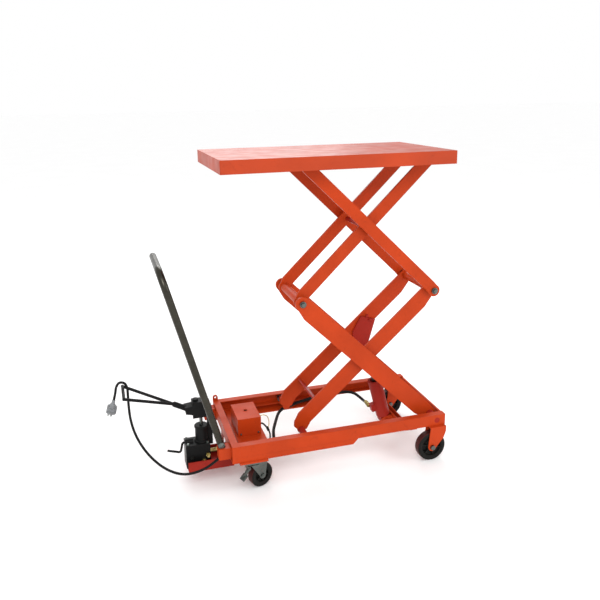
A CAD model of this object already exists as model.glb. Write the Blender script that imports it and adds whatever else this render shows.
from math import cos, pi, radians, sin

import bpy
from mathutils import Matrix, Vector


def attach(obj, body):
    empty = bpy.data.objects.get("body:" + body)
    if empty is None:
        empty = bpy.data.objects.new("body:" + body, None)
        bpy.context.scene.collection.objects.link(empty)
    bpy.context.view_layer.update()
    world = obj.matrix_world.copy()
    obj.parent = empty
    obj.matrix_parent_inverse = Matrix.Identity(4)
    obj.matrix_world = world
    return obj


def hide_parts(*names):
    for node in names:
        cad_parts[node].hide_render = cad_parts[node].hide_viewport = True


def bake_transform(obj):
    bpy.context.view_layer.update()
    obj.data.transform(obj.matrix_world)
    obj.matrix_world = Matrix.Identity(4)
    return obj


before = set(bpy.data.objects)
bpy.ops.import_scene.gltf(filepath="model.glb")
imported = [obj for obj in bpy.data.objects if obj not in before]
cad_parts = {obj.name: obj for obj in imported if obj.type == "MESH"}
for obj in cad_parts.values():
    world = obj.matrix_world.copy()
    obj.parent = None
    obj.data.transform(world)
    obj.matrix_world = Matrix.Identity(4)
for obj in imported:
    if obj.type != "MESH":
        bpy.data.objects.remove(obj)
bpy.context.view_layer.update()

# Looks of a scissor lift table. Table coordinates are in millimetres: X = 0 under the middle of
# the raised platform, Y = 0 on the centre plane, Z = 0 on the floor. at() turns them into the frame.
FRAME_SHIFT = 181.0
SIDES = {"near": -1, "far": 1}

# Camera
CAMERA_PLACE = (-862.68, -2470.05, 1518.80)
CAMERA_YAW = 0.277
CAMERA_PITCH = 0.227
CAMERA_ROLL = -0.016
CAMERA_LENS = 39.533
CAMERA_SHIFT = (0.0263, -0.0906)

# Flexible lines: control points of their routes
CORD_ROUTE = [
    (-462, -150, 131), (-478, -150, 131), (-504, -149, 110), (-540, -147, 88), (-588, -143, 74),
    (-636, -134, 74), (-688, -121, 98), (-732, -107, 138), (-768, -90, 186), (-794, -67, 238),
    (-807, -40, 290), (-809, -14, 338), (-808, 2, 378), (-808, 8, 403), (-817, 9, 424),
    (-838, 9, 429), (-851, 8, 412), (-855, 8, 385), (-863, 8, 357),
]
CORD_RADIUS = 5.0

HOSE_ROUTE = [
    (-491, -45, 106), (-466, -45, 106), (-424, -50, 109), (-370, -62, 110), (-322, -80, 104),
    (-287, -96, 97), (-257, -101, 96), (-240, -86, 112), (-236, -58, 130), (-228, -26, 142),
    (-211, 12, 146), (-192, 56, 147), (-172, 100, 148), (-142, 138, 147), (-102, 155, 147),
    (-52, 162, 156), (10, 163, 166), (80, 164, 170), (146, 163, 173), (190, 162, 168),
    (216, 160, 156), (231, 155, 143), (239, 140, 137), (240, 118, 138), (236, 98, 144),
    (230, 78, 154), (225.5, 56, 162), (224, 40, 163),
]
HOSE_RADIUS = 6.5
FERRULE_RADIUS = HOSE_RADIUS + 2.2
PUMP_FERRULE_LENGTH = 24
PORT_FERRULE_LENGTH = 22
PORT_REACH = 27.5            # from the hose's end to just inside the port block

CABLE_ROUTE = [
    (-287.5, -26, 183), (-275, -26, 182), (-263, -28, 168), (-253, -35, 155), (-248, -47, 142),
    (-251, -60, 128), (-259, -73, 116), (-274, -82, 111), (-290, -82, 117), (-299, -78, 130),
    (-301, -77, 144),
]
CABLE_RADIUS = 3.5
CABLE_LENGTH = 168

WIRE_ROUTE = [
    (-287.5, -6, 204), (-276, -6, 206), (-262, -8, 208), (-250, -12, 202), (-245, -18, 188),
    (-246, -25, 174), (-250, -31, 162), (-254, -34, 156),
]
WIRE_RADIUS = 1.6
WIRE_LENGTH = 92

BOOT_LENGTH = 40.0
BOOT_STRAIGHT = 10           # straight stretch at the exit, in 1 mm steps
BOOT_RADIUS = 8.2
BOOT_TAPER = 2.6
BOOT_GROOVE = 0.7
PLUG_LENGTH = 54.0
PLUG_RADIUS = 20.0
PLUG_RIB_START = 25.0
PLUG_RIB_PITCH = 5.5

# Plug pins, in metres: distance along the plug from the cord's end, and offsets from its middle
PIN_ROOT = 0.049
BLADE_SIDE = 0.0064
BLADE_FRONT = 0.002
EARTH_PIN_BACK = 0.009

# Linkage, base and wheels
LEFT_MID = (-132.0, 722.0)
RIGHT_MID = (433.0, 722.0)
SHAFT_END_Y = 155.0
FIXED_WHEEL = (407.0, 62.5)
FIXED_WHEEL_Y = 207.0
FIXED_WHEEL_RADIUS = 62.5
FIXED_WHEEL_WIDTH = 34.0
FIXED_CORE_RADIUS = 46.0
FIXED_AXLE_RADIUS = 10.1
CASTER_PLACE = (-352.0, 190.0)
CASTER_TURN = radians(20.0)
CASTER_TRAIL = 28.0
CASTER_RADIUS = 50.0
CASTER_WIDTH = 32.0
CASTER_CORE_RADIUS = 34.0
CASTER_AXLE_RADIUS = 5.1
SPOKES = 6                   # on each face of a wheel

# Pump and power box
PUMP_Y = -35.0
PUMP_X = (-601.0, -503.0)
PUMP_TOP = 153.0
PUMP_CYLINDER_X = -531.2
PUMP_CYLINDER_RADIUS = 26.0
PUMP_BOLT_INSET = 10
PUMP_BOLT_Y = 27
PUMP_FILLER = (-578, PUMP_Y - 35, 100)
BOX_X = (-385.0, -288.0)
BOX_Y = (-58.0, 84.0)
BOX_TOP = 228.0
BOX_SCREW_INSET = 12
BOX_SCREW_Z = 161
BEADS_PER_MM = 0.28

# Surfaces: edge radii in metres, and the scale of the moulded grain
PAINT_EDGE = 0.0012
METAL_EDGE = 0.0007
MOULDED_EDGE = 0.0010
MOULDED_GRAIN = 600

# Floor and lights, in metres and watts
FLOOR_HALF_SIZE = 60.0
FLOOR_DROP = 0.0005
LIGHT_TARGET = (0.15, 0, 0.7)
LIGHTS = (
    ("key", (-1.2, -4.2, 3.8), 2.6, 100),
    ("fill", (3.6, -2.6, 1.8), 2.2, 30),
    ("back", (0.5, 3.6, 3.4), 2.6, 70),
)

X_AXIS = Vector((1, 0, 0))
Y_AXIS = Vector((0, 1, 0))
Z_AXIS = Vector((0, 0, 1))
SHARP_ANGLE = radians(32.0)


def at(x, y, z):
    """Point in table coordinates as a point in the frame, in metres."""
    return Vector(((x + FRAME_SHIFT) / 1000, y / 1000, z / 1000))


# ---------------------------------------------------------------- camera and lines first


def make_camera():
    """Camera at the photograph's place and angle."""
    level = cos(CAMERA_PITCH)
    forward = Vector((sin(CAMERA_YAW) * level, cos(CAMERA_YAW) * level, -sin(CAMERA_PITCH)))
    flat_right = Vector((cos(CAMERA_YAW), -sin(CAMERA_YAW), 0))
    flat_up = flat_right.cross(forward)
    right = cos(CAMERA_ROLL) * flat_right + sin(CAMERA_ROLL) * flat_up
    up = cos(CAMERA_ROLL) * flat_up - sin(CAMERA_ROLL) * flat_right
    data = bpy.data.cameras.new("camera")
    data.lens = CAMERA_LENS
    data.sensor_width = 36
    data.shift_x = CAMERA_SHIFT[0]
    data.shift_y = CAMERA_SHIFT[1]
    camera = bpy.data.objects.new("camera", data)
    turn = Matrix((right, up, -forward)).transposed().to_4x4()
    camera.matrix_world = Matrix.Translation(at(*CAMERA_PLACE)) @ turn
    bpy.context.collection.objects.link(camera)
    bpy.context.scene.camera = camera


def centreline(route):
    """Points along the smooth NURBS spline that has the route as its control points."""
    curve = bpy.data.curves.new("route", "CURVE")
    curve.dimensions = "3D"
    spline = curve.splines.new("NURBS")
    spline.points.add(len(route) - 1)
    for point, place in zip(spline.points, route):
        point.co = (*at(*place), 1)
    spline.order_u = 3
    spline.use_endpoint_u = True
    spline.resolution_u = 12
    holder = bpy.data.objects.new("route", curve)
    mesh = bpy.data.meshes.new_from_object(holder)
    points = [vertex.co.copy() for vertex in mesh.vertices]
    bpy.data.objects.remove(holder)
    bpy.data.meshes.remove(mesh)
    bpy.data.curves.remove(curve)
    return points


def mesh_piece(name, verts, faces, material):
    """Object from vertices and faces in the frame, smooth with sharp edges kept."""
    data = bpy.data.meshes.new(name)
    data.from_pydata([tuple(v) for v in verts], [], faces)
    data.update()
    data.shade_smooth()
    data.set_sharp_from_angle(angle=SHARP_ANGLE)
    piece = bpy.data.objects.new(name, data)
    piece.data.materials.append(material)
    bpy.context.collection.objects.link(piece)
    return piece


def ring_faces(rings, sides, closed):
    """Quads between rings of points, with end caps unless closed."""
    faces = []
    count = rings if closed else rings - 1
    for ring in range(count):
        after = (ring + 1) % rings
        for side in range(sides):
            turn = (side + 1) % sides
            low = (ring * sides + side, ring * sides + turn)
            high = (after * sides + turn, after * sides + side)
            faces.append(low + high)
    if not closed:
        faces.append(tuple(range(sides - 1, -1, -1)))
        faces.append(tuple((rings - 1) * sides + side for side in range(sides)))
    return faces


def tube(name, points, radii, material, sides):
    """Tube along points, with one radius in millimetres or one for each point."""
    if not hasattr(radii, "__len__"):
        radii = [radii] * len(points)
    across = None
    verts = []
    for index, point in enumerate(points):
        before = points[max(index - 1, 0)]
        after = points[min(index + 1, len(points) - 1)]
        along = (after - before).normalized()
        if across is None:
            across = along.orthogonal().normalized()
        across = (across - along * across.dot(along)).normalized()
        other = along.cross(across)
        for side in range(sides):
            angle = 2 * pi * side / sides
            offset = across * cos(angle) + other * sin(angle)
            verts.append(point + offset * radii[index] / 1000)
    return mesh_piece(name, verts, ring_faces(len(points), sides, False), material)


def revolved(name, profile, origin, axis, material, sides=48, closed=True):
    """Solid of revolution. The profile is (distance along the axis, radius), in millimetres."""
    turn = axis.to_track_quat("Z", "Y").to_matrix()
    verts = []
    for along, radius in profile:
        for side in range(sides):
            angle = 2 * pi * side / sides
            local = Vector((radius * cos(angle), radius * sin(angle), along)) / 1000
            verts.append(origin + turn @ local)
    return mesh_piece(name, verts, ring_faces(len(profile), sides, closed), material)


def walk(points, length):
    """Points along a line up to a length in millimetres, with the distance of each."""
    kept = [(0.0, points[0])]
    for before, after in zip(points, points[1:]):
        travelled = kept[-1][0] + (after - before).length * 1000
        if travelled > length:
            break
        kept.append((travelled, after))
    return kept


def rounded_ring(inner, outer, low, high):
    """Profile of a ring with chamfered outer edges."""
    chamfer = (high - low) * 0.3
    return [(low, inner), (high, inner), (high, outer - chamfer), (high - chamfer, outer),
            (low + chamfer, outer), (low, outer - chamfer)]


def boot(name, points, material):
    """Tapered strain relief with grooves round the first stretch of a cord."""
    start = points[0]
    axis = (points[1] - start).normalized()
    dense = [start + axis * 0.001 * step for step in range(BOOT_STRAIGHT)]
    stretch = walk(points, BOOT_LENGTH)
    dense += [point for travelled, point in stretch if travelled > BOOT_STRAIGHT]
    radii = []
    for index in range(len(dense)):
        share = index / (len(dense) - 1)
        groove = BOOT_GROOVE if index % 2 and index > 3 else 0.0
        radii.append(BOOT_RADIUS - BOOT_TAPER * share - groove)
    return tube(name, dense, radii, material, sides=24)


def plug(name, end, down, material, metal):
    """Three-pin plug: cord collar, neck and ribbed body, with two blades and an earth pin."""
    profile = [(-2, 5.2), (0, 6.4), (3, 7.2), (6, 6.6), (9, 7.4), (12, 6.8), (14, 8.6), (18, 11.4),
               (22, 15.5)]
    rib_z = PLUG_RIB_START
    crest = PLUG_RADIUS - 0.4
    groove = PLUG_RADIUS - 1.6
    while rib_z < PLUG_LENGTH - 8:
        profile += [(rib_z, crest), (rib_z + 1.2, groove), (rib_z + 2.6, groove), (rib_z + 3.6, crest)]
        rib_z += PLUG_RIB_PITCH
    profile += [(PLUG_LENGTH - 5, PLUG_RADIUS - 0.1), (PLUG_LENGTH - 1.2, PLUG_RADIUS - 0.3),
                (PLUG_LENGTH, PLUG_RADIUS - 1.5)]
    body = revolved(name, profile, end, down, material, closed=False)
    across = Y_AXIS
    front = down.cross(across).normalized()
    pieces = [body]
    for word, side in SIDES.items():
        root = end + down * PIN_ROOT + across * side * BLADE_SIDE + front * BLADE_FRONT
        pieces.append(bar(name + "_blade_" + word, root, down, across, 17, 1.6, 6.4, metal))
    root = end + down * PIN_ROOT - front * EARTH_PIN_BACK
    profile = [(0, 2.4), (17, 2.4), (19, 1.6), (20, 0.6)]
    pieces.append(revolved(name + "_earth_pin", profile, root, down, metal, sides=20, closed=False))
    return pieces


def bar(name, root, along, across, length, thick, wide, material):
    """Flat bar with chamfered end edges, from its root along a direction."""
    third = along.cross(across).normalized()
    verts = []
    for travel, shrink in ((0, 1.0), (length - 1.5, 1.0), (length, 0.6)):
        for a, b in ((-1, -1), (1, -1), (1, 1), (-1, 1)):
            offset = across * a * thick / 2 + third * b * wide / 2
            verts.append(root + along * travel / 1000 + offset * shrink / 1000)
    return mesh_piece(name, verts, ring_faces(3, 4, False), material)


# ---------------------------------------------------------------- materials


def blank_material(name):
    """Material with its nodes, shader and object coordinates."""
    material = bpy.data.materials.new(name)
    material.use_nodes = True
    nodes = material.node_tree.nodes
    links = material.node_tree.links
    shader = nodes["Principled BSDF"]
    place = nodes.new("ShaderNodeTexCoord")
    return material, nodes, links, shader, place.outputs["Object"]


def noise(nodes, links, place, scale, detail, stretch=None, distortion=0.0):
    """Noise texture output, stretched along an axis if asked."""
    source = place
    if stretch:
        mapping = nodes.new("ShaderNodeMapping")
        mapping.inputs["Scale"].default_value = stretch
        links.new(place, mapping.inputs["Vector"])
        source = mapping.outputs["Vector"]
    texture = nodes.new("ShaderNodeTexNoise")
    texture.inputs["Scale"].default_value = scale
    texture.inputs["Detail"].default_value = detail
    texture.inputs["Distortion"].default_value = distortion
    links.new(source, texture.inputs["Vector"])
    return texture.outputs["Fac"]


def spread(nodes, links, source, low, high, to_low, to_high):
    """Values of a source from low to high as values from to_low to to_high."""
    ranged = nodes.new("ShaderNodeMapRange")
    ranged.inputs["From Min"].default_value = low
    ranged.inputs["From Max"].default_value = high
    ranged.inputs["To Min"].default_value = to_low
    ranged.inputs["To Max"].default_value = to_high
    links.new(source, ranged.inputs["Value"])
    return ranged.outputs["Result"]


def tint(nodes, links, factor, first, second):
    """Colour between two colours, by a factor output."""
    mix = nodes.new("ShaderNodeMix")
    mix.data_type = "RGBA"
    links.new(factor, mix.inputs["Factor"])
    for socket, colour in (("A", first), ("B", second)):
        target = [s for s in mix.inputs if s.name == socket and s.type == "RGBA"][0]
        if hasattr(colour, "links"):
            links.new(colour, target)
        else:
            target.default_value = (*colour, 1)
    return [s for s in mix.outputs if s.type == "RGBA"][0]


def bumped(nodes, links, shader, height, strength, distance, base=None):
    """Bump from a height, on top of an earlier normal."""
    bump = nodes.new("ShaderNodeBump")
    bump.inputs["Strength"].default_value = strength
    bump.inputs["Distance"].default_value = distance
    links.new(height, bump.inputs["Height"])
    if base:
        links.new(base, bump.inputs["Normal"])
    links.new(bump.outputs["Normal"], shader.inputs["Normal"])


def soft_edges(nodes, radius):
    """Normal with the edges rounded over a radius in metres."""
    bevel = nodes.new("ShaderNodeBevel")
    bevel.samples = 4
    bevel.inputs["Radius"].default_value = radius
    return bevel.outputs["Normal"]


def shade(colour, factor):
    """Colour made lighter or darker."""
    return tuple(min(1.0, channel * factor) for channel in colour)


def painted(name, colour, rough, specular, peel=0.2):
    """Sprayed paint: slow colour drift, orange peel, fine grit and rubbed patches."""
    material, nodes, links, shader, place = blank_material(name)
    drift = spread(nodes, links, noise(nodes, links, place, 5, 4), 0.3, 0.7, 0, 1)
    base = tint(nodes, links, drift, shade(colour, 0.86), shade(colour, 1.12))
    rub = spread(nodes, links, noise(nodes, links, place, 28, 8, distortion=1.4), 0.60, 0.74, 0, 0.35)
    base = tint(nodes, links, rub, base, shade(colour, 0.6))
    fleck = spread(nodes, links, noise(nodes, links, place, 900, 2), 0.68, 0.76, 0, 0.3)
    base = tint(nodes, links, fleck, base, shade(colour, 1.5))
    links.new(base, shader.inputs["Base Color"])
    gloss = spread(nodes, links, noise(nodes, links, place, 16, 5), 0.3, 0.7, rough - 0.07, rough + 0.09)
    links.new(gloss, shader.inputs["Roughness"])
    shader.inputs["Specular IOR Level"].default_value = specular
    ripples = noise(nodes, links, place, 420, 2)
    bumped(nodes, links, shader, ripples, peel, 0.0005, soft_edges(nodes, PAINT_EDGE))
    return material


def metal(name, colour, rough, grain, stretch=None):
    """Bare or plated steel: grain along one direction, cloudy colour, small scratches."""
    material, nodes, links, shader, place = blank_material(name)
    cloud = spread(nodes, links, noise(nodes, links, place, 22, 6), 0.3, 0.7, 0, 1)
    base = tint(nodes, links, cloud, shade(colour, 0.78), shade(colour, 1.15))
    speck = spread(nodes, links, noise(nodes, links, place, 240, 6, distortion=0.6), 0.62, 0.74, 0, 0.55)
    base = tint(nodes, links, speck, base, shade(colour, 0.45))
    links.new(base, shader.inputs["Base Color"])
    lines = noise(nodes, links, place, grain, 4, stretch)
    links.new(spread(nodes, links, lines, 0.3, 0.7, rough - 0.08, rough + 0.12), shader.inputs["Roughness"])
    shader.inputs["Metallic"].default_value = 1.0
    bumped(nodes, links, shader, lines, 0.25, 0.0003, soft_edges(nodes, METAL_EDGE))
    return material


def moulded(name, colour, rough, dust):
    """Rubber or plastic: fine moulded grain, dusty patches and rounded edges."""
    material, nodes, links, shader, place = blank_material(name)
    drift = spread(nodes, links, noise(nodes, links, place, 30, 5), 0.35, 0.65, 0, 1)
    base = tint(nodes, links, drift, shade(colour, 0.75), shade(colour, 1.3))
    dusty = spread(nodes, links, noise(nodes, links, place, 75, 8, distortion=1.0), 0.56, 0.8, 0, 0.16)
    base = tint(nodes, links, dusty, base, dust)
    links.new(base, shader.inputs["Base Color"])
    links.new(spread(nodes, links, drift, 0, 1, rough - 0.06, rough + 0.1), shader.inputs["Roughness"])
    shader.inputs["Specular IOR Level"].default_value = 0.15
    grain = noise(nodes, links, place, MOULDED_GRAIN, 3)
    bumped(nodes, links, shader, grain, 0.35, 0.0002, soft_edges(nodes, MOULDED_EDGE))
    return material


def clear_plastic(name, colour):
    """Milky translucent plastic with faint flow marks."""
    material, nodes, links, shader, place = blank_material(name)
    flow = spread(nodes, links, noise(nodes, links, place, 60, 5, distortion=2.0), 0.3, 0.7, 0, 1)
    base = tint(nodes, links, flow, shade(colour, 0.82), shade(colour, 1.1))
    links.new(base, shader.inputs["Base Color"])
    links.new(spread(nodes, links, flow, 0, 1, 0.2, 0.34), shader.inputs["Roughness"])
    shader.inputs["Transmission Weight"].default_value = 0.35
    shader.inputs["IOR"].default_value = 1.46
    bumped(nodes, links, shader, noise(nodes, links, place, 350, 2), 0.15, 0.0003)
    return material


def make_materials():
    """One material for each material slot of the record."""
    along_x = (0.06, 1, 1)
    along_y = (1, 0.05, 1)
    return {
        "orange_paint": painted("orange_paint_look", (0.445, 0.042, 0.006), 0.42, specular=0.13),
        "platform_paint": painted("platform_paint_look", (0.42, 0.042, 0.007), 0.38, specular=0.26,
                                  peel=0.05),
        "dark_red_paint": painted("dark_red_paint_look", (0.31, 0.018, 0.010), 0.45, specular=0.14),
        "black_paint": painted("black_paint_look", (0.006, 0.006, 0.006), 0.42, specular=0.12),
        "zinc_steel": metal("zinc_look", (0.13, 0.145, 0.135), 0.3, 180),
        "handle_steel": metal("handle_look", (0.05, 0.047, 0.038), 0.26, 160, along_x),
        "shaft_steel": metal("shaft_look", (0.16, 0.19, 0.2), 0.28, 300, along_y),
        "brass_fitting": metal("brass_look", (0.44, 0.36, 0.14), 0.32, 240),
        "black_rubber": moulded("rubber_look", (0.005, 0.005, 0.005), 0.5, dust=(0.05, 0.05, 0.05)),
        "maroon_wheel": moulded("tyre_look", (0.045, 0.008, 0.007), 0.42, dust=(0.1, 0.04, 0.035)),
        "black_plastic": moulded("plastic_look", (0.005, 0.005, 0.004), 0.45, dust=(0.04, 0.04, 0.04)),
        "grey_plug": clear_plastic("plug_look", (0.26, 0.27, 0.28)),
    }


def dress_cad_nodes(looks):
    """Gives every CAD node the look of its material slot."""
    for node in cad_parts.values():
        for material_slot in node.material_slots:
            name = material_slot.material.name.split(".")[0]
            if name in looks:
                material_slot.material = looks[name]


# ---------------------------------------------------------------- pieces on the flexible lines


def mains_lead(looks):
    """Free mains cord with its strain relief and plug."""
    points = centreline(CORD_ROUTE)
    cord = tube("cord", points, CORD_RADIUS, looks["black_rubber"], sides=20)
    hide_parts("mains_cord")

    relief = boot("cord_boot", points, looks["black_rubber"])
    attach(relief, "base")

    down = (points[-1] - points[-2]).normalized()
    pieces = plug("mains_plug_body", points[-1], down, looks["grey_plug"], looks["zinc_steel"])
    for piece in pieces:
        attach(piece, "pedal")
    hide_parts("mains_plug")
    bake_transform(cord)


def ferrule(name, points, length, material):
    """Crimped sleeve round the end of a hose, with three pressed grooves."""
    start = points[0]
    axis = (points[1] - start).normalized()
    radius = FERRULE_RADIUS
    profile = [(0, radius - 1.2), (1, radius), (length * 0.22, radius), (length * 0.28, radius - 0.9),
               (length * 0.36, radius), (length * 0.48, radius), (length * 0.54, radius - 0.9),
               (length * 0.62, radius), (length * 0.76, radius - 0.4), (length, radius - 1.4)]
    return revolved(name, profile, start, axis, material, sides=32, closed=False)


def port_adaptor(looks):
    """Nipple and hexagon nut between the end of the hose and the cylinder's port block."""
    brass = looks["brass_fitting"]
    nipple = [(0, 3), (0, 6), (PORT_REACH, 6), (PORT_REACH, 3)]
    nut = [(7, 5.5), (7, 9.6), (8.2, 10.6), (18.8, 10.6), (20, 9.6), (20, 5.5)]
    for name, profile, sides in (("port_nipple", nipple, 32), ("port_nut", nut, 6)):
        piece = revolved(name, profile, at(*HOSE_ROUTE[-1]), -Y_AXIS, brass, sides=sides)
        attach(piece, "barrel")


def service_lines(looks):
    """Hydraulic hose along the far rail, and the two leads of the power unit."""
    hose_points = centreline(HOSE_ROUTE)
    hose = tube("hose", hose_points, HOSE_RADIUS, looks["black_rubber"], sides=20)
    brass = looks["brass_fitting"]
    ends = [ferrule("hose_ferrule_pump", hose_points, PUMP_FERRULE_LENGTH, brass),
            ferrule("hose_ferrule_port", hose_points[::-1], PORT_FERRULE_LENGTH, brass)]
    for piece, body in zip(ends, ("base", "barrel")):
        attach(piece, body)
    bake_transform(hose)

    for name, route, radius, length, stiffness, slot in (
            ("unit_cable", CABLE_ROUTE, CABLE_RADIUS, CABLE_LENGTH, "medium", "black_rubber"),
            ("unit_wire", WIRE_ROUTE, WIRE_RADIUS, WIRE_LENGTH, "limp", "brass_fitting")):
        points = centreline(route)
        lead = tube(name, points, radius, looks[slot], sides=16)
        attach(lead, "base")
        grommet = revolved(name + "_grommet", rounded_ring(radius + 0.1, radius + 3.5, 0.4, 3.5),
                           at(*route[0]), X_AXIS, looks["black_rubber"], sides=32)
        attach(grommet, "base")
    joint = at(*WIRE_ROUTE[-1])
    down = (at(*CABLE_ROUTE[4]) - at(*CABLE_ROUTE[3])).normalized()
    profile = [(-10, 3.7), (-8, 5.2), (-3, 5.6), (3, 5.6), (8, 5.2), (10, 3.7)]
    sleeve = revolved("lead_sleeve", profile, joint, down, looks["black_rubber"], sides=32, closed=False)
    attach(sleeve, "base")
    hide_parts("service_lines")


# ---------------------------------------------------------------- wheels


def wheel_tyre(name, centre, axis, radius, core_radius, width, tread, sides):
    """Tyre of revolution with rounded shoulders, a coloured tread and darker side faces."""
    half = width / 2
    corner = 6.0
    left = [(-half + 1.5, core_radius), (-half + 0.4, core_radius + 3), (-half, radius - corner)]
    for step in range(1, 7):
        angle = pi / 2 * step / 6
        left.append((-half + corner * (1 - cos(angle)), radius - corner * (1 - sin(angle))))
    right = [(-along, distance) for along, distance in reversed(left)]
    tyre = revolved(name, left + right, centre, axis, tread, sides=96)
    tyre.data.materials.append(sides)
    for face in tyre.data.polygons:
        face.material_index = 1 if abs(face.normal.dot(axis)) > 0.75 else 0
    return tyre


def wheel_core(name, centre, axis, axle_radius, core_radius, width, material):
    """Core with a rim, a deep web and a hub, open for the axle."""
    half = width / 2
    rim = core_radius - 5
    hub = axle_radius + 10
    left = [(-half + 2, axle_radius), (-half + 2, hub - 2), (-half + 4, hub), (-6, hub + 2), (-4, hub + 5),
            (-4, rim - 5), (-6, rim - 2), (-half + 5, rim), (-half + 2, rim + 1), (-half + 2, core_radius)]
    right = [(-along, distance) for along, distance in reversed(left)]
    return revolved(name, left + right, centre, axis, material, sides=96)


def wheel_spokes(name, centre, axis, axle_radius, core_radius, width, material):
    """Ribs between hub and rim on both faces of a wheel's core."""
    up = axis.orthogonal().normalized()
    side = axis.cross(up)
    ribs = []
    for face in (-1, 1):
        for index in range(SPOKES):
            angle = 2 * pi * index / SPOKES
            outward = up * cos(angle) + side * sin(angle)
            root = centre + outward * (axle_radius + 9) / 1000 + axis * face * (width / 2 - 7.5) / 1000
            length = core_radius - 5 - axle_radius - 7
            ribs.append(bar(f"{name}_rib_{face + 1}_{index}", root, outward, axis, length, 7, 4, material))
    return ribs


def fixed_wheels(looks):
    """Wheels at the hinge end, turned about Y."""
    for word, side in SIDES.items():
        centre = at(FIXED_WHEEL[0], side * FIXED_WHEEL_Y, FIXED_WHEEL[1])
        tyre = wheel_tyre("fixed_tyre_" + word, centre, Y_AXIS, FIXED_WHEEL_RADIUS, FIXED_CORE_RADIUS,
                          FIXED_WHEEL_WIDTH, looks["maroon_wheel"], looks["black_plastic"])
        core = wheel_core("fixed_core_" + word, centre, Y_AXIS, FIXED_AXLE_RADIUS, FIXED_CORE_RADIUS,
                          FIXED_WHEEL_WIDTH, looks["black_plastic"])
        ribs = wheel_spokes("fixed_core_" + word, centre, Y_AXIS, FIXED_AXLE_RADIUS, FIXED_CORE_RADIUS,
                            FIXED_WHEEL_WIDTH, looks["black_plastic"])
        for piece in [tyre, core] + ribs:
            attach(piece, "wheel_" + word)
        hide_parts("fixed_wheel_" + word)


def swivel_frame(side):
    """Floor point under a caster's king pin, the axle's direction and the way the wheel trails."""
    trail = Vector((cos(CASTER_TURN), sin(CASTER_TURN), 0))
    axle = Vector((-sin(CASTER_TURN), cos(CASTER_TURN), 0))
    pivot = at(CASTER_PLACE[0], side * CASTER_PLACE[1], 0)
    return pivot, axle, trail


def caster_wheels(looks):
    """Tyre, core and ribs of each swivel caster's wheel."""
    for word, side in SIDES.items():
        pivot, axle, trail = swivel_frame(side)
        centre = pivot + trail * CASTER_TRAIL / 1000 + Z_AXIS * CASTER_RADIUS / 1000
        tyre = wheel_tyre("caster_tyre_" + word, centre, axle, CASTER_RADIUS, CASTER_CORE_RADIUS,
                          CASTER_WIDTH, looks["maroon_wheel"], looks["black_plastic"])
        core = wheel_core("caster_core_" + word, centre, axle, CASTER_AXLE_RADIUS, CASTER_CORE_RADIUS,
                          CASTER_WIDTH, looks["black_plastic"])
        ribs = wheel_spokes("caster_core_" + word, centre, axle, CASTER_AXLE_RADIUS, CASTER_CORE_RADIUS,
                            CASTER_WIDTH, looks["black_plastic"])
        for piece in [tyre, core] + ribs:
            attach(piece, "caster_roll_" + word)
        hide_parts("caster_wheel_" + word)


# ---------------------------------------------------------------- bolts, welds and small parts


def hex_bolt(name, origin, axis, across, height, washer_radius, washer, looks, body):
    """Hexagon head with a chamfered top on a washer, standing on origin along axis."""
    ring = revolved(name + "_washer", rounded_ring(0.5, washer_radius, 0, washer), origin, axis,
                    looks["zinc_steel"], sides=40)
    corner = across / 2 / cos(pi / 6)
    head = revolved(name + "_head", [(washer, corner), (washer + height * 0.75, corner),
                                     (washer + height, corner * 0.82)],
                    origin, axis, looks["zinc_steel"], sides=6, closed=False)
    for piece in (ring, head):
        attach(piece, body)


def linkage_bolts(looks):
    """Washers and bolt heads on the ends of the two middle shafts."""
    shafts = (("left_mid", LEFT_MID, "lower_outer"), ("right_mid", RIGHT_MID, "lower_inner"))
    for word, side in SIDES.items():
        for name, place, body in shafts:
            origin = at(place[0], side * SHAFT_END_Y, place[1])
            hex_bolt(f"{name}_bolt_{word}", origin, Y_AXIS * side, 17, 7, 13, 2.5, looks, body)


def weld(name, start, end, radius, material, body):
    """Weld bead with ripples between two points in table coordinates."""
    first = at(*start)
    last = at(*end)
    length = (last - first).length * 1000
    count = max(8, int(length * 0.8))
    points = [first.lerp(last, step / count) for step in range(count + 1)]
    radii = []
    for step in range(count + 1):
        travelled = length * step / count
        ripple = 0.16 * sin(2 * pi * travelled * BEADS_PER_MM) + 0.08 * sin(travelled * 0.37 + radius)
        ends = min(1.0, 0.45 + 0.2 * min(step, count - step))
        radii.append(radius * ends * (1 + ripple))
    bead = tube(name, points, radii, material, sides=10)
    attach(bead, body)
    return bead


def base_welds(looks):
    """Beads where sockets, brackets and plates are welded to the base frame."""
    orange = looks["orange_paint"]
    for word, side in SIDES.items():
        runs = {
            "socket_top": ((-443, side * 149, 186), (-443, side * 191, 186)),
            "socket_low": ((-443, side * 149, 156), (-443, side * 149, 184)),
            "bracket": ((400, side * 188, 151), (466, side * 188, 151)),
            "caster_plate": ((-411, side * 213, 126.5), (-302, side * 213, 126.5)),
            "shelf": ((-393, side * 206, 151), (-277, side * 206, 151)),
            "rear_joint": ((-413, side * 212, 157), (-413, side * 212, 196)),
        }
        for name, (start, end) in runs.items():
            weld(f"weld_{name}_{word}", start, end, 2.4, orange, "base")


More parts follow.
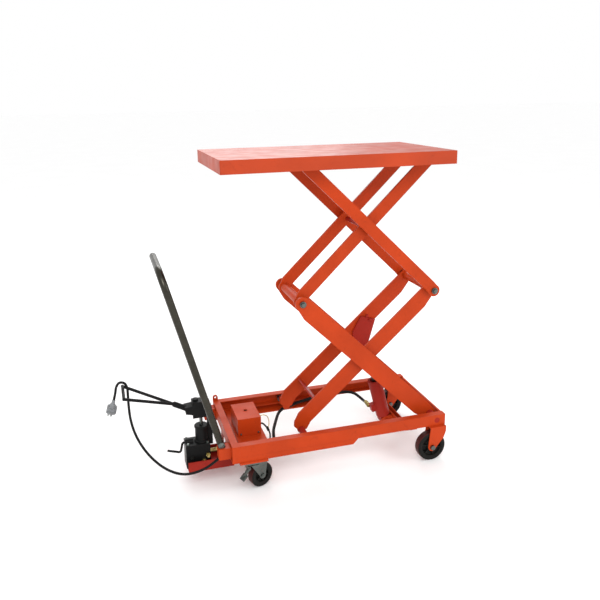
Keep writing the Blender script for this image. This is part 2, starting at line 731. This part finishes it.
def box_screws(looks):
    """Pan-head screws along the power box's lower edge, and a ring round its top hole."""
    middle_x = sum(BOX_X) / 2
    middle_y = sum(BOX_Y) / 2 + 3
    hole = at(middle_x, middle_y, BOX_TOP)
    ring = revolved("box_hole_ring", rounded_ring(7.9, 11, -1, 1.2), hole, Z_AXIS, looks["orange_paint"],
                    sides=40)
    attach(ring, "base")
    for index, x in enumerate((BOX_X[0] + BOX_SCREW_INSET, BOX_X[1] - BOX_SCREW_INSET)):
        for word, y, out in (("near", BOX_Y[0], -1), ("far", BOX_Y[1], 1)):
            profile = [(0, 4.2), (1.2, 4.1), (2.2, 3.2), (2.6, 1.4), (1.6, 1.2), (1.6, 0.1)]
            screw = revolved(f"box_screw_{index}_{word}", profile, at(x, y, BOX_SCREW_Z), Y_AXIS * out,
                             looks["zinc_steel"], sides=28, closed=False)
            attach(screw, "base")


def pump_trim(looks):
    """Collar, gland, wiper ring, filler plug and bolts on the pump body."""
    base = at(PUMP_CYLINDER_X, PUMP_Y, PUMP_TOP)
    radius = PUMP_CYLINDER_RADIUS
    collar = [(0, radius - 1), (0, radius + 5), (5, radius + 5), (8, radius + 2), (9, radius - 1)]
    gland = [(60, radius - 1), (60, radius + 2.5), (66, radius + 2.5), (68.5, radius), (68.5, 9.5),
             (60, 9.5)]
    wiper = [(66.9, 6.7), (66.9, 9.4), (69.5, 9.0), (70.5, 7.4), (70.5, 6.7)]
    trims = [("pump_collar", collar, "black_paint"), ("pump_gland", gland, "black_paint"),
             ("pump_wiper", wiper, "black_rubber")]
    for name, profile, slot in trims:
        piece = revolved(name, profile, base, Z_AXIS, looks[slot], sides=64)
        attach(piece, "base")
    for index, x in enumerate((PUMP_X[0] + PUMP_BOLT_INSET, PUMP_X[1] - PUMP_BOLT_INSET)):
        for word, side in SIDES.items():
            origin = at(x, PUMP_Y + side * PUMP_BOLT_Y, PUMP_TOP - 0.2)
            hex_bolt(f"pump_bolt_{index}_{word}", origin, Z_AXIS, 10, 5, 7, 1.4, looks, "base")
    filler = [(0, 0.5), (0, 8), (2, 8), (2.5, 6.5), (8, 6.5), (9.5, 5), (9.5, 0.5)]
    cap = revolved("pump_filler", filler, at(*PUMP_FILLER), -Y_AXIS, looks["black_plastic"], sides=12)
    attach(cap, "base")


# ---------------------------------------------------------------- floor and light


def area_light(name, place, target, size, power):
    """Soft square light aimed at a point."""
    data = bpy.data.lights.new(name, "AREA")
    data.shape = "SQUARE"
    data.size = size
    data.energy = power
    light = bpy.data.objects.new(name, data)
    aim = Vector(target) - Vector(place)
    turn = aim.to_track_quat("-Z", "Y").to_matrix().to_4x4()
    light.matrix_world = Matrix.Translation(Vector(place)) @ turn
    bpy.context.collection.objects.link(light)


def make_floor():
    """Wide pale floor with a faint unevenness."""
    size = FLOOR_HALF_SIZE
    verts = [(-size, -size, 0), (size, -size, 0), (size, size, 0), (-size, size, 0)]
    material, nodes, links, shader, place = blank_material("floor_look")
    cloud = spread(nodes, links, noise(nodes, links, place, 1.5, 3), 0.3, 0.7, 0, 1)
    colour = tint(nodes, links, cloud, (0.985, 0.985, 0.985), (1.0, 1.0, 1.0))
    links.new(colour, shader.inputs["Base Color"])
    shader.inputs["Roughness"].default_value = 0.9
    shader.inputs["Specular IOR Level"].default_value = 0.1
    floor = mesh_piece("floor", verts, [(0, 1, 2, 3)], material)
    floor.location.z = -FLOOR_DROP


def make_light():
    """White room with a large key light on the left, a fill on the right and one behind."""
    world = bpy.data.worlds.new("studio")
    world.use_nodes = True
    background = world.node_tree.nodes["Background"]
    background.inputs["Color"].default_value = (1, 1, 1, 1)
    background.inputs["Strength"].default_value = 1.0
    bpy.context.scene.world = world
    for name, place, size, power in LIGHTS:
        area_light(name, place, LIGHT_TARGET, size, power)
    bpy.context.scene.view_settings.view_transform = "Standard"


def build():
    """Camera and lines first, then the looks, the pieces, the floor and the lights."""
    make_camera()
    looks = make_materials()
    mains_lead(looks)
    service_lines(looks)
    port_adaptor(looks)
    dress_cad_nodes(looks)
    fixed_wheels(looks)
    caster_wheels(looks)
    linkage_bolts(looks)
    base_welds(looks)
    box_screws(looks)
    pump_trim(looks)
    make_floor()
    make_light()


build()
